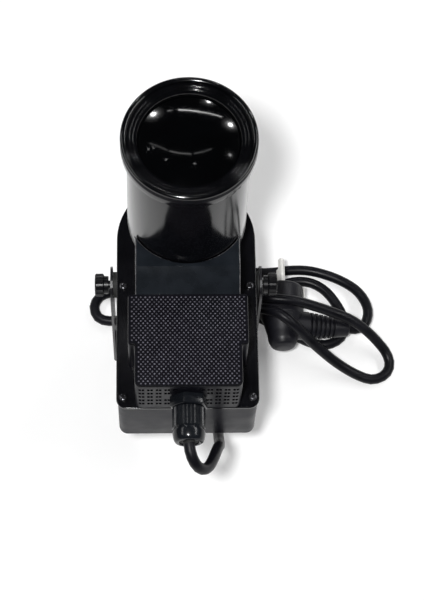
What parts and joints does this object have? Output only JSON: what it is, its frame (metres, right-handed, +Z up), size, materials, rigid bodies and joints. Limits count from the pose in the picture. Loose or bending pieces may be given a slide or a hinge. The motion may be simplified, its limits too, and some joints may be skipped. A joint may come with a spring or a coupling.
{
  "type": "pinspot light",
  "caption": "Small stage pinspot: a round barrel with a domed lens on an arched housing and driver box, tilting in a bent strap yoke, with its mains lead and plug laid beside it.",
  "frame": {"origin": "on the floor under the middle of the light's own box, its lead left out, at the underside of the yoke's base", "axes": "+Z up along the barrel towards the lens, +X along the tilt axis to the right as the lens is seen with the cable gland below, -Y towards the cable gland"},
  "size_m": [0.225, 0.2166, 0.2826],
  "materials": {
    "barrel_paint": "satin black powder coat on turned aluminium",
    "gloss_moulding": "glossy black moulding",
    "black_plastic": "fine matt black moulding",
    "black_steel": "semi-matt black powder coat",
    "box_coat": "dark satin coat on a cast aluminium box",
    "rubber": "matt black rubber",
    "cord_jacket": "smooth black cord jacket, bare of print",
    "steel": "bright zinc-plated or nickel-plated steel",
    "bare_aluminium": "bare aluminium",
    "lens_glass": "polished clear glass, dark against the barrel",
    "clear_optic": "polished clear acrylic",
    "circuit_board": "green solder mask",
    "light_chip": "yellow phosphor",
    "transformer_tape": "yellow polyester tape",
    "terminal_blue": "blue moulded terminal block"
  },
  "bodies": {
    "yoke": {"yoke": "black_steel", "power_cord": "cord_jacket", "plug_body": "black_plastic", "plug_pin_1": "steel", "plug_pin_2": "steel", "earth_clip_1": "steel", "earth_clip_2": "steel"},
    "head": {"spacer_left": "rubber", "spacer_right": "rubber", "pivot_nut_left": "steel", "pivot_nut_right": "steel", "rear_box": "box_coat", "gasket": "rubber", "front_housing": "gloss_moulding", "intake_mesh": "black_plastic", "cover_screw_1": "steel", "cover_screw_2": "steel", "cover_screw_3": "steel", "cover_screw_4": "steel", "cover_screw_5": "steel", "cover_screw_6": "steel", "barrel_tube": "barrel_paint", "barrel_screw_1": "steel", "barrel_screw_2": "steel", "barrel_screw_3": "steel", "bezel_ring": "gloss_moulding", "lens": "lens_glass", "lens_seal": "rubber", "lens_retainer": "black_steel", "heatsink": "bare_aluminium", "heatsink_screw_1": "steel", "heatsink_screw_2": "steel", "heatsink_screw_3": "steel", "led_board": "circuit_board", "led_chip": "light_chip", "optic": "clear_optic", "fan_frame": "black_plastic", "fan_screw_1": "steel", "fan_screw_2": "steel", "fan_screw_3": "steel", "fan_screw_4": "steel", "driver_board": "circuit_board", "board_screw_1": "steel", "board_screw_2": "steel", "board_screw_3": "steel", "board_screw_4": "steel", "transformer": "transformer_tape", "smoothing_capacitor": "bare_aluminium", "mains_terminal": "terminal_blue", "gland_body": "black_plastic", "gland_locknut": "black_plastic", "gland_nut": "black_plastic", "gland_seal": "rubber", "power_cord_drop": "cord_jacket"},
    "knob_left": {"knob_left": "black_plastic"},
    "knob_right": {"knob_right": "black_plastic"},
    "fan_rotor": {"fan_rotor": "black_plastic"}
  },
  "joints": [
    {"name": "tilt", "type": "hinge", "parent": "yoke", "child": "head", "pos_m": [0, 0.02815, 0.1146], "axis": [1, 0, 0], "range_deg": [-100, 35], "deforming": ["power_cord_drop"]},
    {"name": "knob_left_turn", "type": "hinge", "parent": "head", "child": "knob_left", "pos_m": [-0.057, 0.02815, 0.1146], "axis": [-1, 0, 0], "range_deg": [0, 360]},
    {"name": "knob_right_turn", "type": "hinge", "parent": "head", "child": "knob_right", "pos_m": [0.057, 0.02815, 0.1146], "axis": [1, 0, 0], "range_deg": [0, 360]},
    {"name": "fan_spin", "type": "hinge", "parent": "head", "child": "fan_rotor", "pos_m": [0, -0.03285, 0.1655], "axis": [0, 0, 1], "continuous": true}
  ]
}
